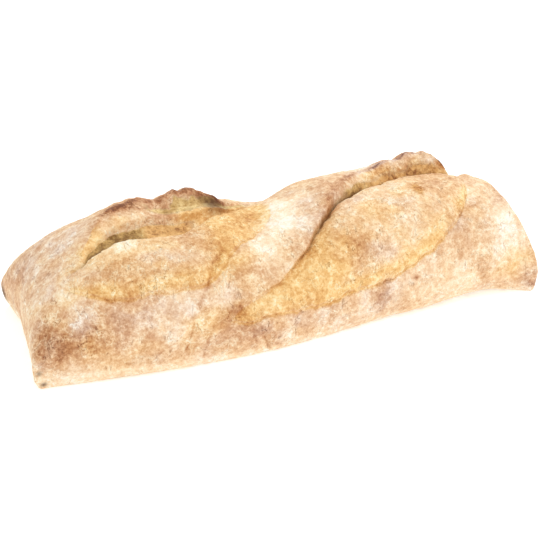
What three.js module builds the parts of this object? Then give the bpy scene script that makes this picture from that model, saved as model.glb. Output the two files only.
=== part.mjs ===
// A short rustic baguette, baked as one solid piece of bread.
//
// Millimetres. +X runs along the loaf and +Z is up. The loaf rests on its flat base at z = 0.
// The top is one skin stretched over cross sections that run from the front side (-Y) over the
// crown to the back side (+Y). Two long diagonal slashes opened in the oven. Each has a sunken line,
// a smooth swollen bloom in front of it, and behind it an ear: a lifted flap of crust whose torn
// inner face looks to the front. A rounded skirt joins the skin to the base.
import * as THREE from 'three';

// Length along X, before the loaf is centred.
const LEFT_TIP = -140;
const RIGHT_TIP = 134;
const MIDDLE_X = (LEFT_TIP + RIGHT_TIP) / 2;

// Cross sections, as [x, size] along the loaf.
const FRONT_WIDTH = [
  [-140, 46], [-110, 50.5], [-75, 54.5], [-35, 56], [5, 53], [50, 47.5], [85, 45.2],
  [112, 43], [125, 43.5], [134, 46],
];
const BACK_WIDTH = [[-140, 44], [-110, 46], [-67, 47], [67, 47], [125, 45], [134, 46]];
const CROWN_HEIGHT = [
  [-140, 47], [-122, 51], [-100, 56.5], [-67, 59], [-30, 57], [8, 56.5], [30, 58.3], [67, 56],
  [90, 53.5], [108, 52.5], [120, 51.5], [134, 57],
];
const WAIST_HEIGHT = 16;
const END_WAIST_HEIGHT = 13;
const SECTION_FULLNESS = 0.9;

// The ends are blunt: pinched down over a short reach, and hollowed in plan between their corners.
const LEFT_REACH = 52;
const LEFT_BLUNTNESS = 2.4;
const RIGHT_REACH = 26;
const RIGHT_BLUNTNESS = 3.1;
const END_CROWN = 2;
const HOLLOW_REACH = 60;
const LEFT_HOLLOW = [[-1, 0], [-0.5, 3.5], [0, 5.5], [0.4, 7.5], [0.8, 6], [1, 5]];
const RIGHT_HOLLOW = [[-1, 0], [0, 3.5], [1, 1]];

// The lower edge curves under to the flat base, more so on the front near the right end.
const FRONT_INSET = [
  [-140, 2], [-110, 4], [-80, 5], [0, 5], [20, 6], [50, 8], [80, 10.5], [100, 12],
  [112, 11], [122, 6], [134, 2],
];
const BACK_INSET_LIMIT = 6;
const LEFT_INSET = 5;
const RIGHT_INSET = 2.5;
const END_INSET_REACH = 14;
const LEFT_INSET_START = 8;
const RIGHT_INSET_START = 2;
const SIDE_BLEND = 20;

// The slashes. line and edge are [x, place], where place runs from 0 at the front waist over the
// crown to 1 at the back waist: line is the sunken line, edge the front limit of the bloom. The
// rest are [x, mm]: the lift of the ear, the width of its inner face, the depth of the sunken
// line and the swelling of the bloom. rim is how far in front of the line the dip reaches, in mm.
const LEFT_SLASH = {
  line: [
    [-121, 0.325], [-111, 0.345], [-101, 0.385], [-85, 0.42], [-69, 0.405], [-55, 0.415],
    [-45, 0.455], [-35, 0.51], [-25, 0.55], [2, 0.68],
  ],
  edge: [
    [-121, 0.315], [-114, 0.25], [-104, 0.205], [-70, 0.175], [-47, 0.2], [-33, 0.295],
    [-13, 0.395], [-4, 0.47], [2, 0.6], [6, 0.7],
  ],
  ear: [
    [-112, 0], [-100, 1.6], [-88, 4.4], [-78, 5.4], [-68, 6], [-58, 4.6], [-50, 7.4],
    [-43, 8.4], [-36, 7], [-27, 3.2], [-22, 0],
  ],
  face: [
    [-116, 1.5], [-108, 3], [-100, 9], [-92, 16], [-79, 25], [-65, 32], [-50, 31], [-40, 25],
    [-30, 16], [-22, 8], [0, 3],
  ],
  depth: [[-121, 0], [-112, 2], [-95, 4], [-70, 5], [-45, 5], [-25, 3.5], [2, 0]],
  swell: [[-121, 0], [-85, 2], [-60, 2], [-20, 0.6], [2, 0]],
  rim: 1.8,
  climb: climbTerraced,
};
const RIGHT_SLASH = {
  line: [
    [-46, 0.055], [-30, 0.105], [-11, 0.165], [4, 0.245], [20, 0.35], [32, 0.425], [44, 0.475],
    [58, 0.515], [72, 0.56], [85, 0.595], [98, 0.6], [112, 0.58],
  ],
  edge: [
    [-46, 0.055], [-32, 0.035], [10, 0.04], [38, 0.06], [59, 0.095], [75, 0.15], [92, 0.25],
    [104, 0.36], [108, 0.42], [112, 0.55],
  ],
  ear: [
    [-20, 0], [0, 0.8], [20, 2], [36, 2.8], [50, 3.4], [65, 4.2], [76, 7], [86, 9.8], [94, 9.2],
    [101, 8.2], [107, 6.4], [110, 1], [112, 0],
  ],
  face: [[-46, 1.2], [15, 3], [30, 5], [45, 8], [65, 11], [85, 11], [98, 9], [112, 2]],
  depth: [
    [-46, 0], [-36, 0.8], [-8, 1.6], [6, 3], [30, 4.5], [60, 5], [90, 4.5], [104, 3], [112, 0],
  ],
  swell: [[-46, 0], [-30, 0.6], [-5, 1.6], [25, 3.2], [55, 4], [80, 3.5], [98, 2], [112, 0]],
  rim: 3.5,
  climb: climbRolled,
};
// The left inner face tore in steps: a pocket up to this part of its width, a ledge and, between
// two stations, a second hollow under the lip. Rises are parts of the face's height.
const POCKET_TOP = [[-100, 0.45], [-69, 0.5], [-48, 0.32], [-35, 0.22]];
const POCKET_RISE = 0.14;
const POCKET_WALL = { rise: 0.3, width: 0.06 };
const UPPER_RISE = 1 - POCKET_RISE - POCKET_WALL.rise;
const UPPER_HOLLOW = { start: -68, end: -56, floor: 0.12, wall: 0.74 };
const UPPER_FULLNESS = 0.9;
const ROLL_FULLNESS = 0.9;
const SECTION_ARC = 150;
const EAR_FALLOFF = 30;
const LIP_LEAN = 0.25;
const LIP_LEAN_FALLOFF = 5;
const LIP_LEAN_GROWTH = 1.5;
const SWELL_FULLNESS = 0.75;
const NARROWEST_FACE = 2.5;
const NARROWEST_BLOOM = 2;

// Shallow dips: a saddle over the crown between the two ears, and a drop behind the right ear's end.
const DIPS = [
  { x: -12, drift: 60, width: 13, depth: 6, rise: 0.28, fall: 0.72, blend: 0.16 },
  { x: 118, drift: 0, width: 12, depth: 6, rise: 0.46, fall: 0.8, blend: 0.16 },
];

// How finely the loaf is cut into facets. Each section's rows lie in five strips: up to the right
// slash's line, over its inner face, on to the left slash's line, over its face and to the back.
// Past the left slash its strips swing back, to make room for the right slash.
const STATIONS = 62;
const STRIP_ROWS = [16, 5, 13, 9, 12];
const ROWS = STRIP_ROWS.reduce((sum, rows) => sum + rows, 1);
const STRIP_SWING = { reach: 40, places: 0.15 };
const SKIRT_RINGS = 4;
const SPINE_START = 12;
const FINE_STEPS = 400;
const END_CROWDING = 1.5;
const NUDGE = 1e-3;

const CRUST = { color: 0xe0be95, roughness: 0.9, metalness: 0 };

const clamp01 = (value) => THREE.MathUtils.clamp(value, 0, 1);
const smooth = (value) => THREE.MathUtils.smoothstep(value, 0, 1);

// A smooth curve through [x, y] points that never overshoots them. It stays level beyond its ends.
function curveThrough(points) {
  const slopes = points.slice(1).map(([x, y], i) => (y - points[i][1]) / (x - points[i][0]));
  const tangents = points.map((_, i) => {
    const before = slopes[Math.max(i - 1, 0)];
    const after = slopes[Math.min(i, slopes.length - 1)];
    return before * after > 0 ? (before + after) / 2 : 0;
  });
  return (x) => {
    let i = 0;
    while (i < points.length - 2 && x > points[i + 1][0]) i += 1;
    const span = points[i + 1][0] - points[i][0];
    const t = clamp01((x - points[i][0]) / span);
    const late = t * t * (3 - 2 * t);
    const leaving = (t - 1) ** 2 * t * span * tangents[i];
    const arriving = (t - 1) * t * t * span * tangents[i + 1];
    return (1 - late) * points[i][1] + late * points[i + 1][1] + leaving + arriving;
  };
}

const frontWidth = curveThrough(FRONT_WIDTH);
const backWidth = curveThrough(BACK_WIDTH);
const crownHeight = curveThrough(CROWN_HEIGHT);
const frontInset = curveThrough(FRONT_INSET);
const leftHollow = curveThrough(LEFT_HOLLOW);
const rightHollow = curveThrough(RIGHT_HOLLOW);
const pocketTop = curveThrough(POCKET_TOP);

// The uncut loaf: turn is 0 at the front waist, 1 at the back waist.
function uncutPoint(x, turn) {
  const onLeft = x < MIDDLE_X;
  const fromEnd = onLeft ? x - LEFT_TIP : RIGHT_TIP - x;
  const reach = clamp01(fromEnd / (onLeft ? LEFT_REACH : RIGHT_REACH));
  const bluntness = onLeft ? LEFT_BLUNTNESS : RIGHT_BLUNTNESS;
  const fullness = (1 - (1 - reach) ** bluntness) ** (1 / bluntness);
  const waist = THREE.MathUtils.lerp(END_WAIST_HEIGHT, WAIST_HEIGHT, fullness);
  const cosine = Math.cos(Math.PI * turn);
  const sine = Math.max(Math.sin(Math.PI * turn), 0);
  const across = -Math.sign(cosine) * Math.abs(cosine) ** SECTION_FULLNESS;
  const arch = (crownHeight(x) - waist) * fullness * sine ** SECTION_FULLNESS;
  const hollow = onLeft ? leftHollow(across) : -rightHollow(across);
  return new THREE.Vector3(
    x + hollow * clamp01(1 - fromEnd / HOLLOW_REACH) ** 3,
    (across * (frontWidth(x) + backWidth(x)) + backWidth(x) - frontWidth(x)) / 2,
    waist + arch + END_CROWN * (1 - across ** 2) * (1 - fullness),
  );
}

// The right inner face's rise from the sunken line, 0, to the top of its rolled lip, 1.
function climbRolled(x, part) {
  return Math.sin(part * Math.PI / 2) ** ROLL_FULLNESS;
}

// The left inner face's rise: a hollow pocket, a ledge, an upper hollow and the lip.
function climbTerraced(x, part) {
  const top = pocketTop(x);
  const pocket = POCKET_RISE * clamp01(part / top) ** 2
    + POCKET_WALL.rise * smooth((part - top) / POCKET_WALL.width);
  const { start, end, floor, wall } = UPPER_HOLLOW;
  const hollow = smooth((x - start) / (end - start));
  const steady = clamp01((part - top) / (1 - top));
  const late = smooth((part - wall) / (1 - wall));
  const plain = steady ** UPPER_FULLNESS;
  const hollowed = floor * steady + (1 - floor) * late;
  return pocket + UPPER_RISE * THREE.MathUtils.lerp(plain, hollowed, hollow);
}

function makeSlash(shape) {
  const [line, edge] = [curveThrough(shape.line), curveThrough(shape.edge)];
  const [ear, face] = [curveThrough(shape.ear), curveThrough(shape.face)];
  const [depth, swell] = [curveThrough(shape.depth), curveThrough(shape.swell)];
  const first = shape.line[0][0];
  const last = shape.line.at(-1)[0];
  const faceWidth = (x) => Math.max(face(x), NARROWEST_FACE);

  // How far the skin moves out along its normal, and forward along the section.
  function shift(x, place, arc) {
    if (x < first || x > last) return { out: 0, forward: 0 };
    const slope = (line(x + 0.5) - line(x - 0.5)) * SECTION_ARC;
    const squareness = 1 / Math.hypot(1, slope);
    const behind = (place - line(x)) * arc * squareness;
    const lift = Math.max(ear(x), 0);
    const sunk = Math.max(depth(x), 0);
    const width = faceWidth(x) * squareness;
    if (behind >= width) {
      const past = behind - width;
      return {
        out: lift * (1 - smooth(past / EAR_FALLOFF)),
        forward: lift * LIP_LEAN * Math.exp(-past / LIP_LEAN_FALLOFF),
      };
    }
    if (behind >= 0) {
      const part = behind / width;
      return {
        out: (lift + sunk) * shape.climb(x, part) - sunk,
        forward: lift * LIP_LEAN * part ** LIP_LEAN_GROWTH,
      };
    }
    const bloomWidth = Math.max((line(x) - edge(x)) * arc * squareness, NARROWEST_BLOOM);
    const across = clamp01(-behind / bloomWidth);
    const swollen = Math.max(swell(x), 0) * Math.sin(Math.PI * across) ** SWELL_FULLNESS;
    return { out: swollen - sunk * Math.exp(behind / shape.rim), forward: 0 };
  }

  return { line, faceWidth, last, shift };
}

const [leftSlash, rightSlash] = [LEFT_SLASH, RIGHT_SLASH].map(makeSlash);

function dipDepth(x, place) {
  return DIPS.reduce((sum, dip) => {
    const across = (x - dip.x - (place - 0.5) * dip.drift) / dip.width;
    const fallen = smooth((place - dip.rise) / dip.blend);
    const risen = smooth((place - dip.fall) / dip.blend);
    return sum + dip.depth * Math.exp(-across * across) * fallen * (1 - risen);
  }, 0);
}

function cutPoint(x, turn, place, arc) {
  const [before, after] = [Math.max(turn - NUDGE, 0), Math.min(turn + NUDGE, 1)];
  const [left, right] = [Math.max(x - NUDGE, LEFT_TIP), Math.min(x + NUDGE, RIGHT_TIP)];
  const upward = uncutPoint(x, after).sub(uncutPoint(x, before)).normalize();
  const along = uncutPoint(right, turn).sub(uncutPoint(left, turn)).normalize();
  const normal = along.cross(upward).normalize();
  const point = uncutPoint(x, turn).addScaledVector(normal, -dipDepth(x, place));
  for (const slash of [leftSlash, rightSlash]) {
    const { out, forward } = slash.shift(x, place, arc);
    point.addScaledVector(normal, out).addScaledVector(upward, -forward);
  }
  return point;
}

// Points spread evenly along a polyline.
function respaced(line, count) {
  const lengths = [0];
  for (let i = 1; i < line.length; i += 1) {
    lengths.push(lengths[i - 1] + line[i].distanceTo(line[i - 1]));
  }
  const points = [];
  let segment = 1;
  for (let i = 0; i < count; i += 1) {
    const goal = lengths.at(-1) * i / (count - 1);
    while (segment < line.length - 1 && lengths[segment] < goal) segment += 1;
    const start = lengths[segment - 1];
    const t = clamp01((goal - start) / (lengths[segment] - start));
    points.push(new THREE.Vector3().lerpVectors(line[segment - 1], line[segment], t));
  }
  return points;
}

// The places where a section's strips of rows meet, from the front waist to the back waist.
function stripPlaces(x, arc) {
  const swing = STRIP_SWING.places * smooth((x - leftSlash.last) / STRIP_SWING.reach);
  const rightLine = rightSlash.line(x);
  const leftLine = leftSlash.line(x) + swing;
  return [
    0, rightLine, rightLine + rightSlash.faceWidth(x) / arc,
    leftLine, leftLine + leftSlash.faceWidth(x) / arc, 1,
  ];
}

function sectionAt(x) {
  const turns = Array.from({ length: FINE_STEPS + 1 }, (_, i) => i / FINE_STEPS);
  const uncut = turns.map((turn) => uncutPoint(x, turn));
  const lengths = [0];
  for (let i = 1; i < uncut.length; i += 1) {
    lengths.push(lengths[i - 1] + uncut[i].distanceTo(uncut[i - 1]));
  }
  const arc = lengths.at(-1);
  const cut = turns.map((turn, i) => cutPoint(x, turn, lengths[i] / arc, arc));
  const bounds = stripPlaces(x, arc).map((place) => lengths.findIndex((l) => l >= place * arc));
  const section = [cut[0]];
  STRIP_ROWS.forEach((rows, i) => {
    const strip = cut.slice(bounds[i], bounds[i + 1] + 1);
    section.push(...respaced(strip, rows + 1).slice(1));
  });
  return section;
}

// Stations crowd towards the ends, where the loaf curves down.
function stationX(i) {
  const along = 2 * i / (STATIONS - 1) - 1;
  const spread = Math.sign(along) * (1 - (1 - Math.abs(along)) ** END_CROWDING);
  return MIDDLE_X + spread * (RIGHT_TIP - LEFT_TIP) / 2;
}

// The closed rim of the skin, counterclockwise from above, as vertex numbers.
function rimOf(at) {
  const rim = [];
  for (let i = 0; i < STATIONS - 1; i += 1) rim.push(at(i, 0));
  for (let j = 0; j < ROWS - 1; j += 1) rim.push(at(STATIONS - 1, j));
  for (let i = STATIONS - 1; i > 0; i -= 1) rim.push(at(i, ROWS - 1));
  for (let j = ROWS - 1; j > 0; j -= 1) rim.push(at(0, j));
  return rim;
}

// A rim point moved in and down along a quarter turn: bend is 0 at the rim, 1 at the base.
function skirtPoint(rimPoint, bend) {
  const angle = bend * Math.PI / 2;
  const inward = 1 - Math.cos(angle);
  const inset = frontInset(rimPoint.x);
  const sideInset = rimPoint.y > 0 ? Math.min(inset, BACK_INSET_LIMIT) : inset;
  const side = THREE.MathUtils.clamp(rimPoint.y / SIDE_BLEND, -1, 1);
  const [leftStart, rightStart] = [LEFT_TIP + LEFT_INSET_START, RIGHT_TIP - RIGHT_INSET_START];
  const pastLeft = clamp01((leftStart + END_INSET_REACH - rimPoint.x) / END_INSET_REACH);
  const pastRight = clamp01((rimPoint.x - rightStart + END_INSET_REACH) / END_INSET_REACH);
  return new THREE.Vector3(
    rimPoint.x + inward * (pastLeft * LEFT_INSET - pastRight * RIGHT_INSET),
    rimPoint.y - inward * side * sideInset,
    bend === 1 ? 0 : rimPoint.z * (1 - Math.sin(angle)),
  );
}

// Two triangles over a quad, split along its shorter diagonal.
function pushQuad(faces, points, [a, b, c, d]) {
  if (points[a].distanceTo(points[c]) <= points[b].distanceTo(points[d])) {
    faces.push(a, b, c, a, c, d);
  } else {
    faces.push(a, b, d, b, c, d);
  }
}

// The flat base: its edge is joined to a spine along its middle, which stops short of the ends.
function pushBase(faces, points, rim, edge) {
  const first = points.length;
  const last = STATIONS - 1 - SPINE_START;
  for (let i = SPINE_START; i <= last; i += 1) points.push(new THREE.Vector3(stationX(i), 0, 0));
  const stations = rim.map((vertex) => Math.floor(vertex / ROWS));
  const spine = stations.map((i) => first + THREE.MathUtils.clamp(i, SPINE_START, last) - SPINE_START);
  edge.forEach((vertex, k) => {
    const next = (k + 1) % edge.length;
    faces.push(edge[next], vertex, spine[k]);
    if (spine[next] !== spine[k]) faces.push(edge[next], spine[k], spine[next]);
  });
}

function loafGeometry() {
  const points = [];
  const faces = [];
  for (let i = 0; i < STATIONS; i += 1) points.push(...sectionAt(stationX(i)));
  const at = (i, j) => i * ROWS + j;
  for (let i = 0; i < STATIONS - 1; i += 1) {
    for (let j = 0; j < ROWS - 1; j += 1) {
      pushQuad(faces, points, [at(i, j), at(i + 1, j), at(i + 1, j + 1), at(i, j + 1)]);
    }
  }

  const rim = rimOf(at);
  let upper = rim;
  for (let ring = 1; ring <= SKIRT_RINGS; ring += 1) {
    const lower = rim.map((_, k) => points.length + k);
    points.push(...rim.map((vertex) => skirtPoint(points[vertex], ring / SKIRT_RINGS)));
    for (let k = 0; k < rim.length; k += 1) {
      const next = (k + 1) % rim.length;
      pushQuad(faces, points, [lower[k], lower[next], upper[next], upper[k]]);
    }
    upper = lower;
  }

  pushBase(faces, points, rim, upper);

  const geometry = new THREE.BufferGeometry().setFromPoints(points);
  geometry.setIndex(faces);
  return geometry;
}

// The origin is the middle of the loaf's box, at the level it rests on.
function centred(geometry) {
  geometry.computeBoundingBox();
  const middle = geometry.boundingBox.getCenter(new THREE.Vector3());
  geometry.translate(-middle.x, -middle.y, -geometry.boundingBox.min.z);
  geometry.computeVertexNormals();
  return geometry;
}

const loaf = new THREE.Mesh(centred(loafGeometry()), new THREE.MeshStandardMaterial(CRUST));
loaf.name = 'loaf';

const baguette = new THREE.Group();
baguette.add(loaf);

export default baguette;
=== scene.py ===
"""The looks of a short rustic baguette: one baked loaf, lying on a pale floor.

The skin repeats the CAD loaf's shape at a fine pitch and gets the relief that baking gives: torn
inner faces in the two slashes, stretched blooms, blisters, wrinkles and flour. Shapes are in the
millimetres that the loaf is drawn in. MM, from the CAD loaf's own box, turns them into metres, and
the finished loaf is centred over the origin. Each surface point also gets masks, such as how much
flour lies there, and one procedural material turns the masks into colour, gloss and grain. Part of
that colour is painted light and shade: shade in the creases, the slash bottoms, the left ear's
notch and the pocket, light bounced up from the floor along the foot, and patches lightened or
darkened against how the lamps fall.
"""

import math

import bpy
import numpy as np
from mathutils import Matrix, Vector


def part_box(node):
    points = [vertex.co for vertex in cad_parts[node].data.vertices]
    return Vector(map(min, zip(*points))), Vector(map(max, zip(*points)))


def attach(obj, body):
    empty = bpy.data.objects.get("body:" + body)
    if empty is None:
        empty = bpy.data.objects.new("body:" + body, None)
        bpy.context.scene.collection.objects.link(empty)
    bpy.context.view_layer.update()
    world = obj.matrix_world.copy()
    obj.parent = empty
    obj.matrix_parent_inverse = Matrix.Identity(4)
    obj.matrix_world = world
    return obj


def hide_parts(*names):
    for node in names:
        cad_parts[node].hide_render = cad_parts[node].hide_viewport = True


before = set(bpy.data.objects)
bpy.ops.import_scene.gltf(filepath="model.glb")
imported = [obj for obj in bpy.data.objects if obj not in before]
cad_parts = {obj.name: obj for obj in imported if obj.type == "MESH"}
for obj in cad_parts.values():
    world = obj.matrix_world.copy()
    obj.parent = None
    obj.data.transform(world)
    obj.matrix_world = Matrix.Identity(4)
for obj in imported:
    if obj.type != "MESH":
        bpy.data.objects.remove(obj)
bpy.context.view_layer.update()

MM_PER_METRE = 1000

# The loaf's extent along X in the drawing, and what turns drawing millimetres into row metres.
LEFT_TIP = -140.0
RIGHT_TIP = 134.0
MIDDLE_X = (LEFT_TIP + RIGHT_TIP) / 2
cad_low, cad_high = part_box("loaf")
MM = (cad_high.x - cad_low.x) / (RIGHT_TIP - LEFT_TIP)


# ---- Camera, floor and light

CAMERA_TURN = math.radians(-21.5)
CAMERA_RISE = math.radians(27.0)
CAMERA_DISTANCE = 0.8
CAMERA_LENS = 101.9
# The point that the camera turns round, from the middle of the loaf's footprint, and how far from
# that point it aims.
PIVOT = Vector((0.003, 0.0045, 0.03))
AIM_SHIFT = Vector((-0.0008, 0, -0.0135))

SKY_STRENGTH = 0.93
WHITE = (1.0, 1.0, 1.0, 1.0)
# Each lamp is a disk: name, place, diameter, watts and colour.
LAMPS = [
    ("key", (0.55, -0.25, 0.9), 0.6, 2.6, (1.0, 0.99, 0.98)),
    ("back", (0.5, 0.7, 0.6), 0.6, 2.0, (1.0, 1.0, 0.99)),
    ("fill", (-0.9, -0.6, 0.5), 0.8, 0.5, (1.0, 1.0, 1.0)),
]
LAMP_TARGET = Vector((0, 0, 0.03))
FLOOR_REACH = 3.0
FLOOR_COLOR = (0.93, 0.93, 0.93, 1.0)
FLOOR_ROUGHNESS = 0.9
FLOOR_GLOW = 0.3


def look_at(thing, place, target):
    thing.location = place
    thing.rotation_euler = (target - place).to_track_quat("-Z", "Y").to_euler()


def add_camera():
    middle = (cad_low + cad_high) / 2
    pivot = Vector((middle.x, middle.y, 0)) + PIVOT
    away = Vector((
        math.sin(CAMERA_TURN) * math.cos(CAMERA_RISE),
        -math.cos(CAMERA_TURN) * math.cos(CAMERA_RISE),
        math.sin(CAMERA_RISE),
    ))
    data = bpy.data.cameras.new("camera")
    data.lens = CAMERA_LENS
    camera = bpy.data.objects.new("camera", data)
    bpy.context.scene.collection.objects.link(camera)
    look_at(camera, pivot + away * CAMERA_DISTANCE, pivot + AIM_SHIFT)
    bpy.context.scene.camera = camera


def add_lamp(name, place, diameter, watts, color):
    data = bpy.data.lights.new(name, "AREA")
    data.shape = "DISK"
    data.size = diameter
    data.energy = watts
    data.color = color
    lamp = bpy.data.objects.new(name, data)
    bpy.context.scene.collection.objects.link(lamp)
    look_at(lamp, Vector(place), LAMP_TARGET)


def add_sky():
    world = bpy.data.worlds.new("studio")
    world.use_nodes = True
    sky = world.node_tree.nodes["Background"]
    sky.inputs["Color"].default_value = WHITE
    sky.inputs["Strength"].default_value = SKY_STRENGTH
    bpy.context.scene.world = world


def add_floor():
    mesh = bpy.data.meshes.new("floor")
    corners = [(x * FLOOR_REACH, y * FLOOR_REACH, 0) for x, y in ((-1, -1), (1, -1), (1, 1), (-1, 1))]
    mesh.from_pydata(corners, [], [(0, 1, 2, 3)])
    paint = bpy.data.materials.new("floor")
    paint.use_nodes = True
    shader = paint.node_tree.nodes["Principled BSDF"]
    shader.inputs["Base Color"].default_value = FLOOR_COLOR
    shader.inputs["Roughness"].default_value = FLOOR_ROUGHNESS
    shader.inputs["Emission Color"].default_value = WHITE
    shader.inputs["Emission Strength"].default_value = FLOOR_GLOW
    mesh.materials.append(paint)
    floor = bpy.data.objects.new("floor", mesh)
    bpy.context.scene.collection.objects.link(floor)


def add_studio():
    bpy.context.scene.view_settings.view_transform = "Standard"
    add_sky()
    for lamp in LAMPS:
        add_lamp(*lamp)
    add_floor()


# ---- The shape, as in the CAD, with sizes as (x, mm) along the loaf

FRONT_WIDTH = [
    (-140, 46), (-110, 50.5), (-75, 54.5), (-35, 56), (5, 53), (50, 47.5), (85, 45.2),
    (112, 43), (125, 43.5), (134, 46),
]
BACK_WIDTH = [(-140, 44), (-110, 46), (-67, 47), (67, 47), (125, 45), (134, 46)]
CROWN_HEIGHT = [
    (-140, 47), (-122, 51), (-100, 56.5), (-67, 59), (-30, 57), (8, 56.5), (30, 58.3), (67, 56),
    (90, 53.5), (108, 52.5), (120, 51.5), (134, 57),
]
WAIST_HEIGHT = 16.0
END_WAIST_HEIGHT = 13.0
SECTION_FULLNESS = 0.9
LEFT_REACH = 52.0
LEFT_BLUNTNESS = 2.4
RIGHT_REACH = 26.0
RIGHT_BLUNTNESS = 3.1
END_CROWN = 2.0
HOLLOW_REACH = 60.0
HOLLOW_FALLOFF = 3
# How far each end is drawn in, as (across, mm), from -1 at the front to 1 at the back.
LEFT_HOLLOW = [(-1, 0), (-0.5, 3.5), (0, 5.5), (0.4, 7.5), (0.8, 6), (1, 5)]
RIGHT_HOLLOW = [(-1, 0), (0, 3.5), (1, 1)]
FRONT_INSET = [
    (-140, 2), (-110, 4), (-80, 5), (0, 5), (20, 6), (50, 8), (80, 10.5), (100, 12),
    (112, 11), (122, 6), (134, 2),
]
BACK_INSET_LIMIT = 6.0
LEFT_INSET = 5.0
RIGHT_INSET = 2.5
LEFT_INSET_START = LEFT_TIP + 22.0
RIGHT_INSET_START = RIGHT_TIP - 16.0
END_INSET_REACH = 14.0
SIDE_FADE = 20.0

# Each slash: line is the sunken line and edge the bloom's front limit, as (x, place), with place
# 0 at the front waist and 1 at the back waist. The others are (x, mm).
LEFT_SLASH = {
    "line": [
        (-121, 0.325), (-111, 0.347), (-101, 0.391), (-85, 0.427), (-69, 0.408), (-55, 0.415),
        (-45, 0.455), (-35, 0.51), (-25, 0.55), (2, 0.68),
    ],
    "edge": [
        (-121, 0.315), (-114, 0.25), (-104, 0.205), (-70, 0.175), (-47, 0.2), (-33, 0.295),
        (-13, 0.395), (-4, 0.47), (2, 0.6), (6, 0.7),
    ],
    "ear": [
        (-112, 0), (-100, 1.6), (-88, 4.4), (-78, 5.4), (-68, 6), (-58, 4.6), (-50, 7.4),
        (-43, 8.4), (-36, 7), (-27, 3.2), (-22, 0),
    ],
    "face": [
        (-116, 1.5), (-108, 3), (-100, 9), (-92, 16), (-79, 25), (-65, 32), (-50, 31), (-40, 25),
        (-30, 16), (-22, 8), (0, 3),
    ],
    "depth": [(-121, 0), (-112, 1), (-95, 3.5), (-70, 5), (-45, 5), (-25, 3.5), (2, 0)],
    "swell": [(-121, 0), (-85, 2), (-60, 2), (-20, 0.6), (2, 0)],
    "rim": 1.8,
    "lip": 3.8,
    "seed": 11,
}
RIGHT_SLASH = {
    "line": [
        (-46, 0.055), (-30, 0.105), (-11, 0.165), (4, 0.245), (20, 0.35), (32, 0.425),
        (44, 0.475), (58, 0.512), (72, 0.551), (85, 0.592), (98, 0.6), (112, 0.58),
    ],
    "edge": [
        (-46, 0.055), (-32, 0.035), (10, 0.04), (38, 0.06), (59, 0.095), (75, 0.15),
        (92, 0.25), (104, 0.36), (108, 0.42), (112, 0.55),
    ],
    "ear": [
        (-20, 0), (0, 0.8), (20, 2), (36, 2.8), (50, 3.4), (65, 4.2), (76, 7), (86, 9.8), (94, 9.2),
        (101, 8.2), (107, 6.4), (110, 1), (112, 0),
    ],
    "face": [
        (-46, 1.2), (15, 3), (30, 5), (45, 8), (65, 11), (85, 11), (98, 9), (112, 2),
    ],
    "depth": [
        (-46, 0), (-36, 0.8), (-8, 1.6), (6, 3), (30, 4.5), (60, 5), (90, 4.5), (104, 3), (112, 0),
    ],
    "swell": [
        (-46, 0), (-30, 0.6), (-5, 1.6), (25, 3.2), (55, 4), (80, 3.5), (98, 2), (112, 0),
    ],
    "rim": 3.5,
    "lip": 2.0,
    "seed": 23,
}
# The left inner face tore in steps: a pocket up to this part of its width, then a ledge. Between
# the two x the wall above the ledge turns into a second, upper pocket.
POCKET_TOP = [(-100, 0.45), (-69, 0.5), (-48, 0.32), (-35, 0.22)]
UPPER_POCKET_X = (-68, -56)
# Its rise as shares of its height: the pocket's floor, the step up to the ledge and the wall above.
# Along the upper pocket the wall rises a little at first and the rest near the lip.
POCKET_RISE = 0.14
LEDGE_RISE = 0.3
LEDGE_SPREAD = 0.06
WALL_RISE = 0.56
EARLY_RISE = 0.12
LATE_START = 0.74
ROUNDNESS = 0.9
# The section's usual arc length, which turns a slash's wander in mm into place.
SECTION_ARC = 150.0
EAR_FALLOFF = 30.0
LIP_LEAN = 0.25
LIP_LEAN_FALLOFF = 5.0
LIP_CURL = 1.5
BLOOM_ROUNDNESS = 0.75
NARROWEST_FACE = 0.8
NARROWEST_BLOOM = 2.0
END_FADE = 6.0
# A noise is a tuple of layers, each (strength, lump size in mm, seed). These move a slash's lines and
# lip by mm and vary its lift by a share. The slash adds its own seed.
LINE_WANDER = ((0.9, 17, 0), (0.9, 6, 1), (0.5, 2.4, 2))
EDGE_WANDER = ((1.0, 11, 3), (0.8, 4, 4), (0.4, 1.6, 5))
LIFT_WANDER = ((0.13, 9, 6), (0.12, 3.4, 7))
LIP_WANDER = ((0.9, 9, 8), (0.5, 3, 9))
# A lip is ragged where it is lifted by about this much.
RAGGED_LIFT = 3.0
# The masks' limits, in mm: how far each blurs or reaches, the face widths from which a torn face
# starts to show and fully shows, and the lift and depth at which a crest and a gap are full.
LINE_BLUR = 0.8
EDGE_BLUR = 1.6
EDGE_WIDTH = 0.9
FACE_BLUR = 0.6
FACE_SHOWS = (1.5, 4.5)
CREST_BACK = 3.5
CREST_LIFT = 4.0
GAP_WIDTH = 0.9
GAP_DEPTH = 2.0
# Shallow dips: a saddle over the crown between the two ears, and a drop behind the right ear's end.
DIPS = [
    {"x": -12, "drift": 60, "width": 13, "depth": 6, "rise": 0.28, "fall": 0.72, "blend": 0.16},
    {"x": 118, "drift": 0, "width": 12, "depth": 6, "rise": 0.46, "fall": 0.8, "blend": 0.16},
]

# Noise looks up its values in a table of this size, by a hash of the cell's three numbers.
NOISE_TABLE = 8192
NOISE_PRIMES = (73856093, 19349663, 83492791)
# The least length that a vector is divided by.
TINY = 1e-12

# How finely the skin is cut, in points.
STATIONS = 560
ROWS = 330
FINE_STEPS = 1100
SKIRT_RINGS = 34
END_CROWDING = 1.5
# The base is flat rings from the skirt's foot in to a spine, at these shares of the way.
BASE_PARTS = (0.02, 0.05, 0.1, 0.2, 0.35, 0.55, 0.8)
SPINE_INSET = 48.0


def smooth(value):
    value = np.clip(value, 0, 1)
    return value * value * (3 - 2 * value)


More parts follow.
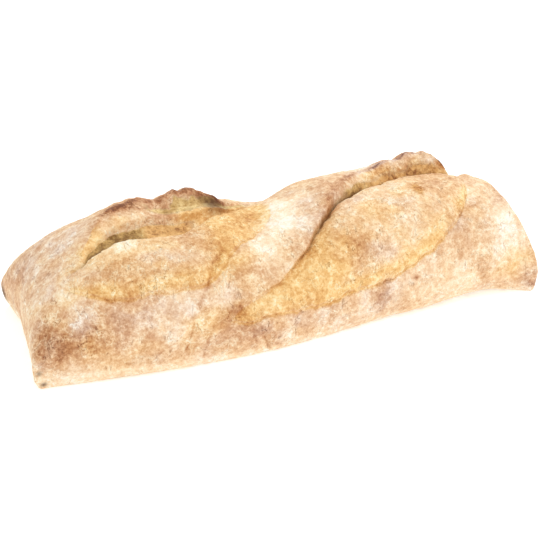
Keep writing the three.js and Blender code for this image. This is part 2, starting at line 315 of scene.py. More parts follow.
def rise(value, start, end):
    """0 up to start and 1 from end on, smooth in between. end may be the lower of the two."""
    return smooth((value - start) / (end - start))


def curve_through(points, x):
    """A smooth curve through (x, y) points that never overshoots them, level beyond its ends."""
    px, py = np.array(points, float).T
    slope = np.diff(py) / np.diff(px)
    inner = np.where(slope[1:] * slope[:-1] > 0, (slope[1:] + slope[:-1]) / 2, 0)
    tangent = np.concatenate((slope[:1], inner, slope[-1:]))
    i = np.clip(np.searchsorted(px, x) - 1, 0, len(px) - 2)
    span = px[i + 1] - px[i]
    t = np.clip((x - px[i]) / span, 0, 1)
    late = t * t * (3 - 2 * t)
    leaving = (t - 1) ** 2 * t * span * tangent[i]
    arriving = (t - 1) * t * t * span * tangent[i + 1]
    return (1 - late) * py[i] + late * py[i + 1] + leaving + arriving


def noise(points, size, seed):
    """Smooth noise in -1..1, with lumps about size across."""
    cells = np.asarray(points) / size
    corner = np.floor(cells).astype(np.int64)
    part = smooth(cells - corner)
    table = np.random.default_rng(seed).uniform(-1, 1, NOISE_TABLE)
    total = np.zeros(cells.shape[:-1])
    for dx in (0, 1):
        for dy in (0, 1):
            for dz in (0, 1):
                step = np.array((dx, dy, dz))
                weight = np.prod(np.where(step == 1, part, 1 - part), axis=-1)
                hashed = (corner + step) * np.array(NOISE_PRIMES)
                index = (hashed[..., 0] ^ hashed[..., 1] ^ hashed[..., 2]) % NOISE_TABLE
                total += weight * table[index]
    return total


def layered(points, layers, seed=0):
    """The sum of noise layers, each (strength, lump size, seed), with seed added to their own."""
    return sum(strength * noise(points, size, seed + own) for strength, size, own in layers)


def wander(x, layers, seed):
    """Noise that depends on the place along the loaf only."""
    line = np.zeros(np.shape(x) + (3,))
    line[..., 0] = x
    return layered(line, layers, seed)


def uncut_surface(x, turn):
    """The loaf before slashing, as (stations, steps, 3): turn runs 0..1 from front to back waist."""
    on_left = x < MIDDLE_X
    from_end = np.where(on_left, x - LEFT_TIP, RIGHT_TIP - x)
    reach = np.clip(from_end / np.where(on_left, LEFT_REACH, RIGHT_REACH), 0, 1)
    bluntness = np.where(on_left, LEFT_BLUNTNESS, RIGHT_BLUNTNESS)
    fullness = (1 - (1 - reach) ** bluntness) ** (1 / bluntness)
    waist = END_WAIST_HEIGHT + (WAIST_HEIGHT - END_WAIST_HEIGHT) * fullness
    cosine = np.cos(np.pi * turn)
    sine = np.maximum(np.sin(np.pi * turn), 0)
    across = -np.sign(cosine) * np.abs(cosine) ** SECTION_FULLNESS
    front = curve_through(FRONT_WIDTH, x)
    back = curve_through(BACK_WIDTH, x)
    arch = (curve_through(CROWN_HEIGHT, x) - waist) * fullness * sine ** SECTION_FULLNESS
    hollow = np.where(
        on_left, curve_through(LEFT_HOLLOW, across), -curve_through(RIGHT_HOLLOW, across)
    )
    return np.stack(np.broadcast_arrays(
        x + hollow * np.clip(1 - from_end / HOLLOW_REACH, 0, 1) ** HOLLOW_FALLOFF,
        (across * (front + back) + back - front) / 2,
        waist + arch + END_CROWN * (1 - across ** 2) * (1 - fullness),
    ), axis=-1)


def climb_rolled(x, part):
    """The right inner face's rise, the same at every x: 0 at the sunken line, 1 at the lip."""
    return np.sin(part * np.pi / 2) ** ROUNDNESS


def climb_terraced(x, part):
    """The left inner face's rise: a pocket, a ledge, then a wall or an upper pocket, and the lip."""
    top = curve_through(POCKET_TOP, x)
    ledge = POCKET_RISE * np.clip(part / top, 0, 1) ** 2
    ledge = ledge + LEDGE_RISE * rise(part, top, top + LEDGE_SPREAD)
    hollow = rise(x, *UPPER_POCKET_X)
    steady = np.clip((part - top) / (1 - top), 0, 1)
    held_back = EARLY_RISE * steady + (1 - EARLY_RISE) * rise(part, LATE_START, 1)
    return ledge + WALL_RISE * (steady ** ROUNDNESS * (1 - hollow) + held_back * hollow)


def slash_profile(slash, x, place, arc):
    """Where each point lies in a slash, in mm: how far behind the line, and each part's width."""
    seed = slash["seed"]
    line = curve_through(slash["line"], x) + wander(x, LINE_WANDER, seed) / SECTION_ARC
    edge = curve_through(slash["edge"], x) + wander(x, EDGE_WANDER, seed) / SECTION_ARC
    slope = curve_through(slash["line"], x + 0.5) - curve_through(slash["line"], x - 0.5)
    squareness = 1 / np.hypot(1, slope * SECTION_ARC)
    behind = (place - line) * arc * squareness
    lift = np.maximum(curve_through(slash["ear"], x), 0) * (1 + wander(x, LIFT_WANDER, seed))
    jag = wander(x, LIP_WANDER, seed) * smooth(lift / RAGGED_LIFT)
    face = np.maximum(curve_through(slash["face"], x) + jag, NARROWEST_FACE) * squareness
    bloom = np.maximum((line - edge) * arc * squareness, NARROWEST_BLOOM)
    return behind, lift, face, bloom


def cut_slash(slash, x, place, arc):
    """What one slash does to the skin: its moves out and forward in mm, and its masks."""
    behind, lift, face, bloom = slash_profile(slash, x, place, arc)
    sunk = np.maximum(curve_through(slash["depth"], x), 0)
    swell = np.maximum(curve_through(slash["swell"], x), 0)
    past = np.maximum(behind - face, 0)
    part = np.clip(behind / face, 0, 1)
    across = np.clip(-behind / bloom, 0, 1)
    on_ear = behind >= face
    on_face = behind >= 0
    ear_out = lift * (1 - smooth(past / EAR_FALLOFF))
    ear_forward = lift * LIP_LEAN * np.exp(-past / LIP_LEAN_FALLOFF)
    face_out = (lift + sunk) * slash["climb"](x, part) - sunk
    face_forward = lift * LIP_LEAN * part ** LIP_CURL
    sunken = sunk * np.exp(np.minimum(behind, 0) / slash["rim"])
    bloom_out = swell * np.sin(np.pi * across) ** BLOOM_ROUNDNESS - sunken
    out = np.where(on_ear, ear_out, np.where(on_face, face_out, bloom_out))
    forward = np.where(on_ear, ear_forward, np.where(on_face, face_forward, 0))

    start, end = slash["line"][0][0], slash["line"][-1][0]
    inside = (x > start) & (x < end)
    opened = np.where(inside, smooth((x - start) / END_FADE) * smooth((end - x) / END_FADE), 0)
    crest_width = np.where(behind > face, CREST_BACK, slash["lip"])
    masks = {
        "bloom": opened * smooth(-behind / LINE_BLUR) * smooth((bloom + behind) / EDGE_BLUR),
        "edge": opened * np.exp(-((bloom + behind) / EDGE_WIDTH) ** 2),
        "across": np.where(behind < 0, across, 0) * opened,
        "face": opened * smooth(behind / FACE_BLUR + 0.5) * smooth((face - behind) / FACE_BLUR + 0.5)
        * rise(face, *FACE_SHOWS),
        "part": np.where(behind > 0, part, 0) * opened,
        "crest": opened * np.exp(-((behind - face) / crest_width) ** 2) * smooth(lift / CREST_LIFT),
        "gap": opened * np.exp(-(behind / GAP_WIDTH) ** 2) * smooth(sunk / GAP_DEPTH),
    }
    return np.where(inside, out, 0), np.where(inside, forward, 0), masks


LEFT_SLASH["climb"] = climb_terraced
RIGHT_SLASH["climb"] = climb_rolled


def dip_depth(x, place):
    total = 0
    for dip in DIPS:
        across = (x - dip["x"] - (place - 0.5) * dip["drift"]) / dip["width"]
        started = smooth((place - dip["rise"]) / dip["blend"])
        ended = smooth((place - dip["fall"]) / dip["blend"])
        total = total + dip["depth"] * np.exp(-across * across) * started * (1 - ended)
    return total


def unit(vectors):
    return vectors / np.maximum(np.linalg.norm(vectors, axis=-1, keepdims=True), TINY)


def running_length(points, axis):
    """How far each point is along its line of points, starting from 0."""
    steps = np.linalg.norm(np.diff(points, axis=axis), axis=-1)
    start = np.zeros_like(np.take(steps, [0], axis=axis))
    return np.concatenate((start, np.cumsum(steps, axis=axis)), axis=axis)


def make_skin():
    """The slashed skin on an even grid: positions (stations, rows, 3) and masks by name."""
    along = np.linspace(-1, 1, STATIONS)
    spread = np.sign(along) * (1 - (1 - np.abs(along)) ** END_CROWDING)
    x = (MIDDLE_X + spread * (RIGHT_TIP - LEFT_TIP) / 2)[:, None]
    turn = np.linspace(0, 1, FINE_STEPS)[None]
    uncut = uncut_surface(x, turn)
    length = running_length(uncut, 1)
    arc = length[:, -1:]
    place = length / arc
    upward = unit(np.gradient(uncut, axis=1))
    outward = unit(np.cross(unit(np.gradient(uncut, axis=0)), upward))
    points = uncut - outward * dip_depth(x, place)[..., None]
    fields = {}
    for name, slash in (("left", LEFT_SLASH), ("right", RIGHT_SLASH)):
        out, forward, masks = cut_slash(slash, x, place, arc)
        points = points + outward * out[..., None] - upward * forward[..., None]
        fields.update({f"{name}_{key}": value for key, value in masks.items()})

    names = list(fields)
    stack = np.concatenate((points, np.stack([fields[name] for name in names], -1)), axis=-1)
    even = np.empty((STATIONS, ROWS, stack.shape[-1]))
    travelled = running_length(points, 1)
    steps = np.arange(FINE_STEPS)
    for i in range(STATIONS):
        goal = np.linspace(0, travelled[i, -1], ROWS)
        spot = np.interp(goal, travelled[i], steps)
        before = np.minimum(spot.astype(int), FINE_STEPS - 2)
        part = (spot - before)[:, None]
        even[i] = stack[i, before] * (1 - part) + stack[i, before + 1] * part
    return even[..., :3], {name: even[..., 3 + k] for k, name in enumerate(names)}


def rim_indices():
    """Grid numbers around the skin's rim, counterclockwise from above."""
    number = np.arange(STATIONS * ROWS).reshape(STATIONS, ROWS)
    sides = (number[:-1, 0], number[-1, :-1], number[:0:-1, -1], number[0, :0:-1])
    return np.concatenate(sides)


def skirt_ring(rim, bend):
    """The rim brought down and in along a quarter circle, by a share of the circle."""
    angle = bend * math.pi / 2
    inward = 1 - math.cos(angle)
    inset = curve_through(FRONT_INSET, rim[:, 0])
    inset = np.where(rim[:, 1] > 0, np.minimum(inset, BACK_INSET_LIMIT), inset)
    side = np.clip(rim[:, 1] / SIDE_FADE, -1, 1)
    past_left = np.clip((LEFT_INSET_START - rim[:, 0]) / END_INSET_REACH, 0, 1)
    past_right = np.clip((rim[:, 0] - RIGHT_INSET_START) / END_INSET_REACH, 0, 1)
    ring = rim.copy()
    ring[:, 0] += inward * (past_left * LEFT_INSET - past_right * RIGHT_INSET)
    ring[:, 1] -= inward * side * inset
    ring[:, 2] *= 1 - math.sin(angle)
    return ring


def close_skin(skin):
    """The closed loaf's vertices and quads, and the cap in the middle of its flat base."""
    number = np.arange(STATIONS * ROWS).reshape(STATIONS, ROWS)
    quads = [np.stack((number[:-1, :-1], number[1:, :-1], number[1:, 1:], number[:-1, 1:]), -1)]
    vertices = [skin.reshape(-1, 3)]
    upper = rim_indices()
    rim = vertices[0][upper]
    count = len(vertices[0])
    rings = [skirt_ring(rim, ring / SKIRT_RINGS) for ring in range(1, SKIRT_RINGS + 1)]
    rings[-1][:, 2] = 0
    spine = rings[-1].copy()
    spine[:, 0] = np.clip(spine[:, 0], LEFT_TIP + SPINE_INSET, RIGHT_TIP - SPINE_INSET)
    spine[:, 1] = 0
    rings += [rings[SKIRT_RINGS - 1] * (1 - part) + spine * part for part in BASE_PARTS]
    for ring in rings:
        lower = np.arange(count, count + len(ring))
        quads.append(np.stack((lower, np.roll(lower, -1), np.roll(upper, -1), upper), -1))
        vertices.append(ring)
        upper = lower
        count += len(ring)
    return np.concatenate(vertices), np.concatenate([q.reshape(-1, 4) for q in quads]), upper[::-1]


# The flat sheet that the surface unrolls to, in mm: the skin, the skirt as flaps round it, and the
# base below. All of it fits in a square.
SHEET = 312.0
SKIN_LEFT, SKIN_BOTTOM, SKIN_LENGTH, SKIN_ARC = 18.0, 130.0, 274.0, 165.0
FLAP = 16.0
BASE_MIDDLE = 60.0


def flap_corners(start, along, outward, length, steps, ring):
    """Where one skirt ring's quads lie on one flap, as (steps, 4 corners, 2)."""
    share = np.arange(steps + 1)[:, None] / steps
    line = np.array(start) + np.array(along) * length * share
    near = line + np.array(outward) * FLAP * ring / SKIRT_RINGS
    far = line + np.array(outward) * FLAP * (ring + 1) / SKIRT_RINGS
    return np.stack((far[:-1], far[1:], near[1:], near[:-1]), axis=1)


def unroll(vertices, quads, cap):
    """Each face corner's place on the sheet, 0..1, in the order of the faces' corners."""
    along = np.linspace(SKIN_LEFT, SKIN_LEFT + SKIN_LENGTH, STATIONS)
    over = np.linspace(SKIN_BOTTOM, SKIN_BOTTOM + SKIN_ARC, ROWS)
    skin = np.stack(np.meshgrid(along, over, indexing="ij"), -1).reshape(-1, 2)
    skin_quads = (STATIONS - 1) * (ROWS - 1)
    right, top = SKIN_LEFT + SKIN_LENGTH, SKIN_BOTTOM + SKIN_ARC
    flaps = (
        ((SKIN_LEFT, SKIN_BOTTOM), (1, 0), (0, -1), SKIN_LENGTH, STATIONS - 1),
        ((right, SKIN_BOTTOM), (0, 1), (1, 0), SKIN_ARC, ROWS - 1),
        ((right, top), (-1, 0), (0, 1), SKIN_LENGTH, STATIONS - 1),
        ((SKIN_LEFT, top), (0, -1), (-1, 0), SKIN_ARC, ROWS - 1),
    )
    places = [skin[quads[:skin_quads]].reshape(-1, 2)]
    for ring in range(SKIRT_RINGS):
        places += [flap_corners(*flap, ring).reshape(-1, 2) for flap in flaps]
    skirt_quads = len(rim_indices()) * SKIRT_RINGS
    base = np.concatenate((quads[skin_quads + skirt_quads:].ravel(), cap))
    places.append(vertices[base, :2] + (SKIN_LEFT - LEFT_TIP, BASE_MIDDLE))
    return np.concatenate(places) / SHEET


def build_mesh(vertices, quads, cap):
    """One closed mesh from quads and a many-sided cap in the middle of the base."""
    mesh = bpy.data.meshes.new("baked_loaf")
    mesh.vertices.add(len(vertices))
    mesh.vertices.foreach_set("co", (vertices / MM_PER_METRE).ravel())
    corners = np.concatenate((quads.ravel(), cap))
    mesh.loops.add(len(corners))
    mesh.loops.foreach_set("vertex_index", corners)
    starts = np.arange(len(quads) + 1) * 4
    mesh.polygons.add(len(starts))
    mesh.polygons.foreach_set("loop_start", starts)
    mesh.polygons.foreach_set("use_smooth", np.ones(len(starts), bool))
    mesh.update(calc_edges=True)
    sheet = mesh.uv_layers.new(name="OFBake")
    sheet.uv.foreach_set("vector", unroll(vertices, quads, cap).astype(np.float32).ravel())
    mesh.validate()
    return mesh


# ---- What lies where on the crust

# Patches of lighter and darker crust, as (centre, radii, strength) in mm. Shades add to the crust's
# lightness, where 0 is dark brown and 1 is white with flour. Some are real patches of bake and
# flour. Others are painted light and shade that set the brightness against how the lamps fall, such
# as the darkening over the saddle between the ears.
SHADES = [
    ((-124, -46, 24), (13, 12, 10), -0.32), ((-132, -42, 30), (6, 8, 6), -0.14),
    ((-112, -50, 25), (10, 8, 8), -0.12), ((-110, -48, 32), (9, 7, 4), -0.1),
    ((-128, -32, 38), (9, 9, 5), -0.14), ((-97, -50, 27), (10, 8, 12), -0.14),
    ((-106, -51, 12), (14, 8, 5), 0.04), ((-138, -30, 10), (4, 24, 8), 0.2),
    ((-124, -24, 44), (13, 11, 9), 0.22), ((-106, 6, 54), (22, 16, 9), 0.06),
    ((-131, 15, 32), (8, 16, 12), -0.08), ((-118, 0, 50), (16, 22, 8), -0.05),
    ((-86, -17, 57), (15, 9, 7), 0.36), ((-106, -27, 52), (6, 6, 6), 0.16),
    ((-70, -34, 54), (12, 5, 5), 0.02), ((-86, -32, 54), (12, 3, 4), -0.1),
    ((-72, -22, 56), (9, 5, 5), -0.12), ((-50, -36, 50), (10, 9, 6), 0.03),
    ((-50, -45, 46), (10, 6, 6), 0.04), ((-46, -55, 28), (17, 8, 5), -0.22),
    ((-44, -56, 14), (30, 8, 9), -0.16), ((0, -54, 14), (22, 8, 9), -0.1),
    ((-22, -10, 53), (9, 8, 7), -0.14), ((-30, -44, 46), (8, 8, 8), -0.08),
    ((4, -2, 56), (12, 13, 8), 0.36), ((-4, -22, 53), (11, 12, 8), 0.34),
    ((-17, -35, 51), (9, 8, 7), 0.24), ((-19, -40, 46), (8, 8, 5), 0.1),
    ((12, -41, 46), (10, 8, 7), -0.06), ((10, 6, 56), (5, 5, 4), -0.18),
    # The patch at (-28, 11, 55) is painted shade in the left ear's notch.
    ((20, 2, 59), (5, 4, 4), -0.1), ((-28, 11, 55), (6, 5, 4), -0.6),
    ((-18, -2, 51), (8, 8, 7), -0.1), ((-80, 7, 61), (14, 4, 4), -0.2),
    ((-64, 8, 62), (20, 3, 4), -0.24), ((30, -44, 46), (12, 8, 9), -0.24),
    ((50, -28, 54), (16, 9, 6), -0.1), ((40, -49, 30), (34, 8, 8), -0.12),
    ((84, 20, 60), (20, 6, 6), 0.14), ((58, 12, 60), (9, 7, 5), 0.22),
    ((98, 19, 57), (9, 5, 5), 0.12), ((11, -12, 57), (6, 7, 5), -0.12),
    ((-22, -54, 30), (12, 6, 5), 0.13), ((-109, -24, 50), (7, 8, 5), -0.07),
    ((-77, -27, 57), (10, 5, 5), 0.1), ((-111, -50, 22), (7, 8, 8), -0.12),
    ((43, -48, 17), (4, 9, 8), -0.26), ((119, -34, 40), (10, 10, 12), 0.26),
    ((131, 0, 36), (6, 34, 24), -0.22), ((105, -44, 18), (6, 8, 10), -0.1),
    ((86, -44, 20), (14, 8, 8), 0.1), ((78, -46, 13), (20, 8, 7), 0.14),
    ((62, -45, 28), (16, 8, 8), 0.1), ((123, -43, 16), (8, 9, 8), -0.06),
    ((133, -45, 6), (5, 7, 6), -0.5), ((40, 44, 28), (30, 8, 12), -0.2),
    ((-90, 44, 30), (22, 8, 12), -0.18), ((120, 40, 24), (14, 12, 14), -0.14),
    ((-60, 30, 50), (28, 14, 9), -0.1), ((60, 32, 44), (26, 10, 8), -0.12),
    ((-10, 36, 42), (22, 8, 10), -0.12),
]
# Cool, grey-pink patches of thin flour, and warm patches of bare crust.
MAUVE_SPOTS = [
    ((-72, -34, 54), (14, 5, 6), 0.9), ((-98, -34, 51), (9, 5, 4), 0.3),
    ((92, -34, 46), (12, 8, 8), 0.5), ((20, -8, 57), (12, 14, 6), 0.5),
    ((-124, -24, 44), (14, 10, 8), 0.5), ((124, -20, 40), (10, 16, 14), 0.4),
    ((0, -20, 53), (16, 14, 8), 0.4), ((43, -48, 17), (6, 9, 9), 0.9),
    ((-116, -45, 33), (11, 8, 5), 0.8), ((32, -14, 57), (10, 8, 6), 0.6),
    ((-78, -50, 38), (28, 7, 8), 0.7), ((132, -45, 7), (8, 8, 8), 0.9),
    ((-40, -54, 38), (16, 6, 8), 0.7), ((-22, -56, 20), (10, 6, 9), 0.4),
    ((48, -44, 42), (9, 6, 6), 0.6), ((-122, 10, 44), (18, 26, 14), 0.5),
    ((84, 20, 60), (20, 8, 6), 0.9), ((98, 19, 57), (10, 6, 5), 0.9),
    ((70, 43, 26), (20, 8, 10), 0.5), ((-70, 44, 30), (26, 8, 12), 0.4),
]
GOLD_SPOTS = [
    ((-84, -2, 60), (6, 4, 4), 0.6), ((-110, -26, 49), (9, 9, 6), 0.9),
    ((-106, -21, 54), (9, 9, 6), 0.9), ((-112, -50, 24), (11, 8, 9), 0.6),
    ((-24, -54, 32), (24, 8, 6), 0.75), ((-106, -12, 54), (7, 9, 4), 0.5),
    ((-20, -4, 52), (10, 15, 8), 0.7), ((-120, -36, 44), (12, 8, 6), 0.5),
    ((100, -34, 46), (10, 12, 8), 0.4), ((-33, -40, 48), (10, 8, 8), 0.7),
    ((-124, -46, 26), (16, 12, 14), 0.5), ((123, -43, 18), (9, 9, 9), 0.6),
    ((-46, -55, 27), (18, 8, 6), 0.6), ((-100, -50, 12), (16, 8, 6), 0.3),
]
# Small dark specks, and scorched spots. The last scorched spot, at (-29, 9, 55), is painted shade
# in the left ear's notch.
FLECKS = [
    ((76, -15, 58), (3.5, 5, 6), 1.3), ((66, -17, 58), (2, 3, 6), 0.35),
    ((61.6, -46, 23), (1.6, 6, 1.4), 1.0), ((-38, -54, 30), (1.6, 6, 1.2), 0.5),
]
BURNT_AND_SHADE_SPOTS = [
    ((-134, 41, 9), (3, 4, 4.5), 0.9), ((-137, -45, 10), (1.3, 4, 1.5), 0.7),
    # The spot at (-29, 9, 55) is painted shade in the left ear's notch.
    ((-135, -46, 3), (1.6, 4, 1.3), 0.8), ((-29, 9, 55), (6, 6, 5), 0.85),
]
# Creases in the skin: from, to, width and depth.
FOLDS = [
    ((-27, -57, 26), (-24, -55, 6), 0.9, 0.6), ((-31, -57, 20), (-29, -55, 5), 0.7, 0.4),
    ((-40, -34, 52), (-48, -43, 47), 1.5, 0.8), ((-48, -43, 47), (-53, -49, 40), 1.5, 0.8),
    ((-53, -49, 40), (-58, -52, 34), 1.3, 0.6), ((-12, -1, 52), (-11, -23, 53), 0.8, 0.5),
    ((-39, -53, 36), (-44, -55, 26), 0.8, 0.5), ((-86, -52, 40), (-86, -54, 32), 0.7, 0.4),
    ((-128, -44, 40), (-112, -46, 41), 0.6, 0.5), ((-62, -55, 26), (-66, -55, 12), 0.8, 0.5),
    ((-52, -56, 22), (-57, -56, 8), 0.8, 0.5), ((-22, -54, 33), (-23, -55, 26), 0.7, 0.5),
    ((4, -52, 34), (3, -53, 27), 0.7, 0.4), ((-100, -51, 20), (-96, -51, 9), 0.8, 0.4),
    ((70, 44, 34), (74, 47, 12), 1.0, 0.5), ((-20, 44, 36), (-26, 47, 14), 1.0, 0.5),
]
CREASE_WAVE = ((0.9, 6, 60),)
CREASE_STRETCH = (1, 0.5, 0.5)
# Painted shade along the bottom of each slash, in the scorched colour, as (x, share).
LEFT_GAP_SHADE = [
    (-121, 0.05), (-110, 0.25), (-95, 0.4), (-80, 0.3), (-60, 0.15), (-30, 0.15), (-20, 0.4), (2, 0),
]
RIGHT_GAP_SHADE = [
    (-46, 0), (-10, 0.05), (5, 0.2), (14, 0.45), (40, 0.55), (60, 0.45), (95, 0.6), (112, 0.2),
]

# Noises that vary the finish. WARP moves the points that patches are placed on by mm, once for each
# axis, so that their outlines get ragged. JAGS moves the limits across a torn face.
WARP = ((3.0, 9, 70), (1.6, 3.5, 80))
PATCHY = ((1, 30, 40), (0.5, 15, 41), (0.25, 7.5, 42))
BLOTCHY = ((1, 11, 50), (0.5, 5.5, 51))
JAGS = ((0.06, 6, 90), (0.04, 2.4, 91))
HUE = ((1, 8, 56),)
STREAKY = ((1, 6, 57),)
STREAKY_STRETCH = (1, 0.35, 0.35)
STREAKY_HEIGHT = (50, 38)

# Where a zone of a torn face starts and is full across the face, 0 at the sunken line and 1 at the
# lip. The first two are counted from the pocket's top.
POCKET_ACROSS = (0.02, -0.03)
UPPER_ACROSS = (0.14, 0.24)
UPPER_LIP_ACROSS = (0.87, 0.8)
LEDGE_ACROSS = (0.74, 0.68)
SLOT_ACROSS = (0.42, 0.22)
BARE_ACROSS = (0.86, 0.7)
# The pocket's painted shade, which lies near the sunken line.
POCKET_SHADE_ACROSS = (0.3, 0.05)
# How many times the jags move a limit.
UPPER_JAGS = 1.4
SLOT_JAGS = 2
# Where a zone or finish starts and is full along the loaf, in mm.
POCKET_X = (-38, -50)
UPPER_X = (-68, -62)
SLOT_X = (34, 42)
ROLL_X = (44, 58)
TOAST_LEFT_X = (-74, -68)
TOAST_RIGHT_X = (42, 68)
# The pocket's painted shade, towards the left end.
POCKET_SHADE_X = (-74, -82)
SLOT_END_X = (84, 98)
GOLDEN_LEDGE_X = (-60, -48)
GOLDEN_TIP_X = (-88, -96)
GOLDEN_LEFT_X = (-52, -38)
GOLDEN_RIGHT_X = (34, 10)
# Where a bloom turns golden towards its front limit, 0 at the sunken line and 1 at the limit.
GOLDEN_LEFT_ACROSS = (0.62, 0.92)
GOLDEN_RIGHT_ACROSS = (0.74, 0.94)
BLOOM_GOLD = 0.35
BARE_GOLD = 0.7
# What the golden, cool and flour masks are made of: a start, and how much other things add to it.
LEAST_GOLD = 0.08
BLOTCHY_GOLD = 0.15
HUE_GOLD = 0.25
LIP_GOLD = -0.4
COOL_GOLD = -0.75
ROLL_COOL = 0.6
PATCHY_COOL = 0.3
HUE_COOL = -0.5
MOST_COOL = 0.9
FLOUR = 0.5
PATCHY_FLOUR = 0.4
LEFT_FLOUR = 0.3
LIGHT_FLOUR = 0.3
MEAN_LIGHT = 0.6
# How dark the painted shade near the bottom of the pocket's left end is.
POCKET_SHADE_STRENGTH = 0.3

# The crust's lightness where nothing changes it, and how much each feature adds. The creases and gap
# features are painted shade in the creases and along the slash bottoms, and shades is partly painted
# light and shade.
PLAIN_LIGHT = 0.61
LIGHTENING = {
    "along": 0.04, "patches": 0.07, "blotches": 0.06, "streaks": 0.07, "bloom": -0.04,
    "right_bloom": 0.04, "shades": 1.0, "upper": 0.26, "slot_end": 0.15, "toasted_pocket": 0.16,
    "lip": -0.34, "roll": -0.16, "edge": -0.14, "creases": -0.3, "gap": -0.12, "flecks": -0.36,
}
ROLL_BLOTCHES = 1.8
# A pale band along the foot, painted light bounced up from the floor: its lightness and share,
# up to which height in mm it reaches, how much higher it reaches on the left and from where, and
# over how many mm it fades.
FLOOR_BOUNCE_LIGHT = 0.84
FLOOR_BOUNCE_SHARE = 0.8
UNDER_HEIGHT = 6.0
UNDER_GAIN = 4.0
UNDER_GAIN_X = (-30, -90)
UNDER_FADE = 5.0


def spots(points, places):
    """A mask of soft spots, the strongest one at each point."""
    total = np.zeros(len(points))
    for centre, radii, strength in places:
        away = (points - np.array(centre)) / np.array(radii)
        total = np.maximum(total, strength * np.exp(-(away * away).sum(axis=-1)))
    return total


def shades(points, places):
    """The sum of soft patches, for patches that darken or lighten."""
    total = np.zeros(len(points))
    for centre, radii, strength in places:
        total += math.copysign(1, strength) * spots(points, [(centre, radii, abs(strength))])
    return total


def crease(points, start, end, width):
    span = end - start
    along = np.clip((points - start) @ span / (span @ span), 0, 1)
    nearest = start + along[:, None] * span
    nearest[:, 0] += layered(points, CREASE_WAVE)
    away = np.linalg.norm((points - nearest) * CREASE_STRETCH, axis=-1)
    return np.exp(-(away / width) ** 2)


def creases(points):
    """1 along each crease in the skin, fading away from it."""
    total = np.zeros(len(points))
    for start, end, width, depth in FOLDS:
        total = np.maximum(total, depth * crease(points, np.array(start), np.array(end), width))
    return total


def warp(points):
    """The points moved about by noise."""
    moves = [layered(points, WARP, axis) for axis in range(3)]
    return points + np.stack(moves, axis=-1)


def face_zones(points, fields):
    """The zones of the torn faces: crumb in the pocket, upper pocket and slot, crust elsewhere."""
    x = points[:, 0]
    left, right = fields["left_face"], fields["right_face"]
    part_left, part_right = fields["left_part"], fields["right_part"]
    above = part_left - curve_through(POCKET_TOP, x)
    jag = layered(points, JAGS)
    pocket = left * rise(above, *POCKET_ACROSS) * rise(x, *POCKET_X)
    upper = left * rise(above, *UPPER_ACROSS) * rise(x, *UPPER_X)
    upper = upper * rise(part_left - UPPER_JAGS * jag, *UPPER_LIP_ACROSS)
    slot = right * rise(part_right - SLOT_JAGS * jag, *SLOT_ACROSS) * rise(x, *SLOT_X)
    roll = right * (1 - slot) * rise(x, *ROLL_X)
    return {
        "pocket": pocket,
        "upper": upper,
        "ledge": left * (1 - np.maximum(pocket, upper)) * rise(part_left - jag, *LEDGE_ACROSS),
        "slot": slot,
        "roll": roll,
        "bare": roll * rise(part_right - jag, *BARE_ACROSS),
        "crumb": np.maximum(pocket, np.maximum(upper, slot)),
    }


def either(fields, name):
    """A field of the left slash or the right one, whichever is more."""
    return np.maximum(fields["left_" + name], fields["right_" + name])


def golden_mask(points, warped, fields, zones, blotchy, hue):
    """How golden the crust is: on the blooms, along the slashes' limits and in warm patches."""
    x = points[:, 0]
    left = np.maximum(rise(fields["left_across"], *GOLDEN_LEFT_ACROSS), rise(x, *GOLDEN_LEFT_X))
    right = np.maximum(rise(fields["right_across"], *GOLDEN_RIGHT_ACROSS), rise(x, *GOLDEN_RIGHT_X))
    golden = fields["left_bloom"] * (BLOOM_GOLD + (1 - BLOOM_GOLD) * left)
    golden = golden + fields["right_bloom"] * (BLOOM_GOLD + (1 - BLOOM_GOLD) * right)
    for warm in (
        zones["ledge"] * rise(x, *GOLDEN_LEDGE_X),
        fields["left_face"] * rise(x, *GOLDEN_TIP_X),
        spots(warped, GOLD_SPOTS) * (1 - either(fields, "bloom")),
        either(fields, "edge"),
        either(fields, "gap"),
        BARE_GOLD * zones["bare"],
        spots(points, FLECKS) * fields["right_bloom"],
    ):
        golden = np.maximum(golden, warm)
    golden = np.clip(golden + BLOTCHY_GOLD * blotchy + HUE_GOLD * np.maximum(hue, 0), LEAST_GOLD, 1)
    return golden * (1 + LIP_GOLD * either(fields, "crest"))


def light_mask(points, warped, fields, zones, patchy, blotchy):
    """The crust's lightness, 0 dark brown to 1 white with flour, partly painted light and shade."""
    x, height = points[:, 0], points[:, 2]
    bloom = either(fields, "bloom")
    streaky = layered(points * STREAKY_STRETCH, STREAKY)
    features = {
        "along": x / RIGHT_TIP,
        "patches": patchy,
        "blotches": blotchy,
        "streaks": streaky * rise(height, *STREAKY_HEIGHT) * (1 - bloom),
        "bloom": bloom,
        "right_bloom": fields["right_bloom"] * (1 - rise(x, *GOLDEN_RIGHT_X)),
        "shades": shades(warped, SHADES) * (1 - zones["crumb"]),
        "upper": zones["upper"],
        "slot_end": zones["slot"] * rise(x, *SLOT_END_X),
        "toasted_pocket": zones["pocket"] * rise(x, *TOAST_LEFT_X),
        "lip": either(fields, "crest") * (1 + blotchy),
        "roll": zones["roll"] * (1 + ROLL_BLOTCHES * blotchy),
        "edge": either(fields, "edge") * (1 + blotchy),
        # Painted shade: darker in the creases and along the bottoms of the slashes.
        "creases": creases(points),
        "gap": either(fields, "gap"),
        "flecks": spots(points, FLECKS),
    }
    light = PLAIN_LIGHT + sum(LIGHTENING[name] * feature for name, feature in features.items())
    # A pale band along the foot: painted light bounced up from the floor.
    reach = UNDER_HEIGHT + UNDER_GAIN * rise(x, *UNDER_GAIN_X)
    return light + (FLOOR_BOUNCE_LIGHT - light) * FLOOR_BOUNCE_SHARE * smooth((reach - height) / UNDER_FADE)


